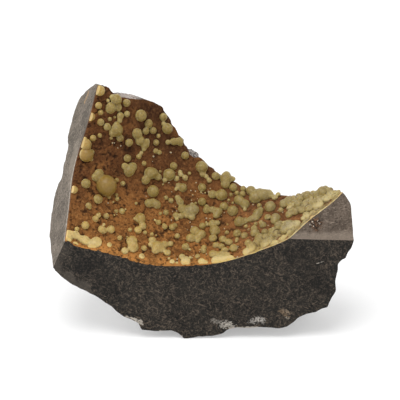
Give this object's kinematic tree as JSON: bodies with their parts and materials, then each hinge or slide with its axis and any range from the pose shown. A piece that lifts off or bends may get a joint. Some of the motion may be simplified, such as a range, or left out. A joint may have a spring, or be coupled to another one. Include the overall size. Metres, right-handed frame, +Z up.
{
  "type": "botryoidal calcite specimen",
  "caption": "Sawn wedge of dark basalt with a hollow curved wall lined by ochre crust and studded with rounded cream calcite balls, resting on a flat sawn base.",
  "frame": {"origin": "middle of the flat base that the specimen rests on", "axes": "+Z up out of the base, +X along the specimen's width towards its right end seen from the front, -Y out of the sawn front face"},
  "size_m": [0.1492, 0.0869, 0.121],
  "materials": {
    "basalt": "matte",
    "ochre_crust": "matte",
    "calcite": "satin"
  },
  "bodies": {
    "root": {"basalt_matrix": "basalt", "ochre_lining": "ochre_crust", "calcite_01": "calcite", "calcite_02": "calcite", "calcite_03": "calcite", "calcite_04": "calcite", "calcite_05": "calcite", "calcite_06": "calcite", "calcite_07": "calcite", "calcite_08": "calcite", "calcite_09": "calcite", "calcite_10": "calcite", "calcite_11": "calcite", "calcite_12": "calcite", "calcite_13": "calcite", "calcite_14": "calcite", "calcite_15": "calcite", "calcite_16": "calcite", "calcite_17": "calcite", "calcite_18": "calcite", "calcite_19": "calcite", "calcite_20": "calcite", "calcite_21": "calcite", "calcite_22": "calcite", "calcite_23": "calcite", "calcite_24": "calcite", "calcite_25": "calcite", "calcite_26": "calcite", "calcite_27": "calcite", "calcite_28": "calcite", "calcite_29": "calcite", "calcite_30": "calcite", "calcite_31": "calcite", "calcite_32": "calcite", "calcite_33": "calcite", "calcite_34": "calcite", "calcite_35": "calcite", "calcite_36": "calcite", "calcite_37": "calcite", "calcite_38": "calcite", "calcite_39": "calcite", "calcite_40": "calcite", "calcite_41": "calcite", "calcite_42": "calcite", "calcite_43": "calcite", "calcite_44": "calcite", "calcite_45": "calcite", "calcite_46": "calcite", "calcite_47": "calcite", "calcite_48": "calcite", "calcite_49": "calcite", "calcite_50": "calcite", "calcite_51": "calcite", "calcite_52": "calcite", "calcite_53": "calcite", "calcite_54": "calcite", "calcite_55": "calcite", "calcite_56": "calcite"}
  },
  "joints": []
}
